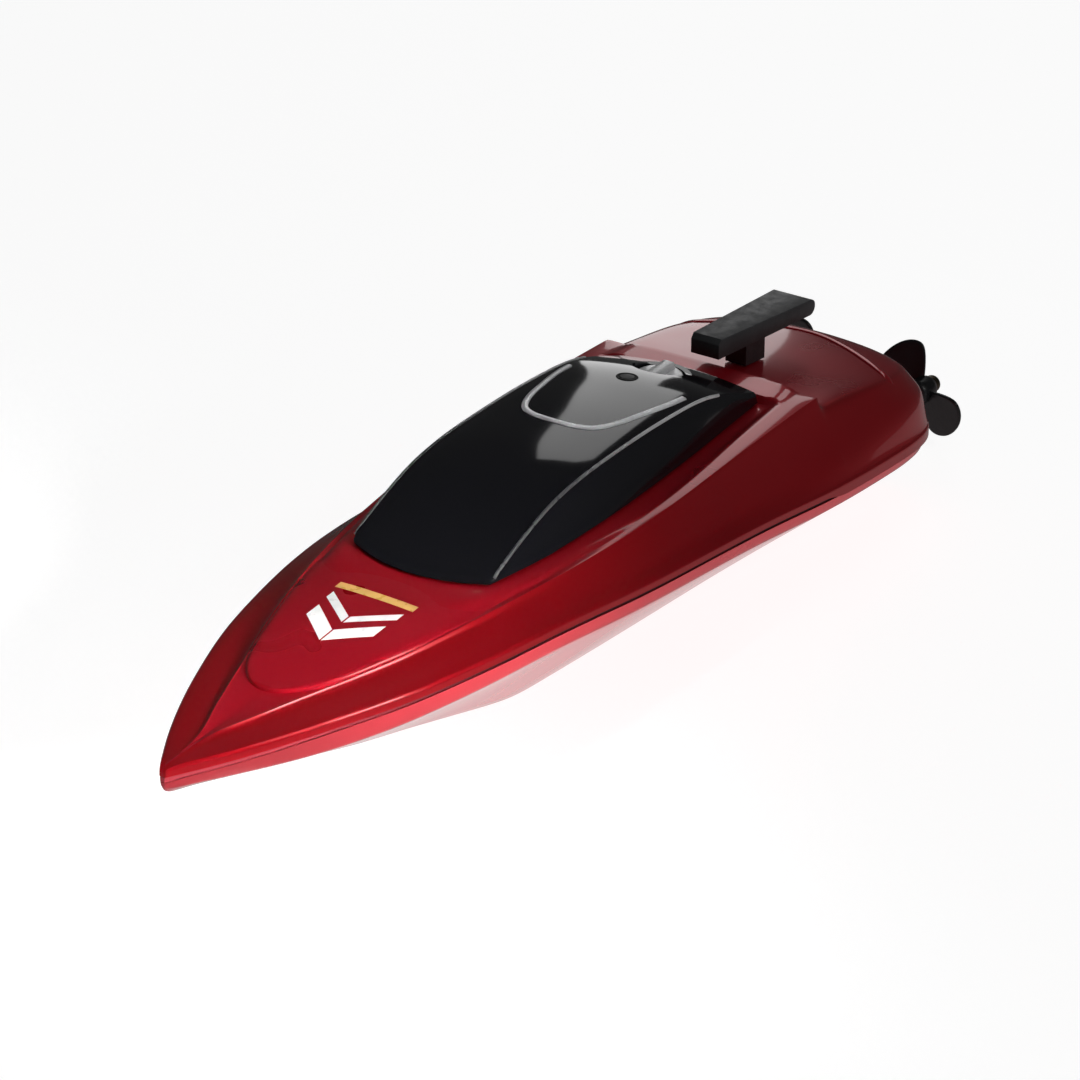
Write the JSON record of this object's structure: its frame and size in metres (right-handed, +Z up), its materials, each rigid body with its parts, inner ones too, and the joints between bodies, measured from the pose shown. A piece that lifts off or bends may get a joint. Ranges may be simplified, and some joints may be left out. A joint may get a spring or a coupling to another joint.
{
  "type": "toy motor boat",
  "caption": "Small radio-controlled speedboat with a red deep-V hull, hinged black canopy over the battery bay, carry bar and twin propellers.",
  "frame": {"origin": "middle of the flat keel pad, on the surface that the boat stands on", "axes": "+X to the bow, +Y to port, +Z up"},
  "size_m": [0.3019, 0.0798, 0.0635],
  "materials": {
    "hull_red": "gloss",
    "deck_red": "gloss",
    "seal_black": "matt",
    "canopy_black": "gloss",
    "trim_bright": "polished",
    "lens_dark": "gloss",
    "handle_black": "satin",
    "latch_dark": "gloss",
    "steel": "bright",
    "brass": "satin",
    "nylon": "matt",
    "prop_black": "satin",
    "rotor_iron": "wound",
    "coupling_rubber": "matt",
    "frame_black": "matt",
    "tray_grey": "matt",
    "battery_blue": "shrink film",
    "strap_black": "woven",
    "foam_yellow": "foam",
    "board_green": "lacquered",
    "chip_black": "matt",
    "wire_red": "matt",
    "wire_black": "matt"
  },
  "bodies": {
    "hull": {"hull_shell": "hull_red", "deck_shell": "deck_red", "seam_gasket": "seal_black", "hatch_gasket": "seal_black", "carry_handle": "handle_black", "handle_screws": "steel", "hinge_pin": "steel", "motor_cradle": "frame_black", "motor_clamp": "frame_black", "clamp_screws": "steel", "battery_tray": "tray_grey", "battery_pack": "battery_blue", "battery_strap": "strap_black", "receiver_pad": "foam_yellow", "receiver_board": "board_green", "receiver_chips": "chip_black", "switch_body": "steel", "water_contacts": "steel", "port_motor_lead": "wire_red", "starboard_motor_lead": "wire_red", "battery_lead": "wire_red", "aerial_wire": "wire_black", "port_stern_tube": "brass", "starboard_stern_tube": "brass", "port_bushes": "nylon", "starboard_bushes": "nylon", "port_gland": "seal_black", "starboard_gland": "seal_black", "port_motor_can": "steel", "starboard_motor_can": "steel", "port_motor_cap": "nylon", "starboard_motor_cap": "nylon"},
    "canopy": {"canopy_shell": "canopy_black", "roof_trim": "trim_bright", "roof_lens": "lens_dark"},
    "latch": {"latch_knob": "latch_dark", "latch_tongue": "nylon", "latch_nut": "steel"},
    "port_drive": {"port_prop_shaft": "steel", "port_propeller": "prop_black", "port_prop_nut": "brass", "port_coupling": "coupling_rubber", "port_rotor": "rotor_iron"},
    "starboard_drive": {"starboard_prop_shaft": "steel", "starboard_propeller": "prop_black", "starboard_prop_nut": "brass", "starboard_coupling": "coupling_rubber", "starboard_rotor": "rotor_iron"},
    "switch": {"switch_slider": "chip_black"}
  },
  "joints": [
    {"name": "port_spin", "type": "hinge", "parent": "hull", "child": "port_drive", "pos_m": [-0.1, 0.0155, 0.0146], "axis": [0.9981, 0, 0.061], "continuous": true},
    {"name": "starboard_spin", "type": "hinge", "parent": "hull", "child": "starboard_drive", "pos_m": [-0.1, -0.0155, 0.0146], "axis": [0.9981, 0, 0.061], "continuous": true},
    {"name": "canopy_hinge", "type": "hinge", "parent": "hull", "child": "canopy", "pos_m": [0.113, 0, 0.0424], "axis": [0, 1, 0], "range_deg": [0, 50]},
    {"name": "latch_turn", "type": "hinge", "parent": "canopy", "child": "latch", "pos_m": [0.005, 0, 0.05], "axis": [0, 0, 1], "range_deg": [0, 90]},
    {"name": "switch_slide", "type": "slide", "parent": "hull", "child": "switch", "axis": [0, 1, 0], "range_m": [0, 0.003]}
  ]
}
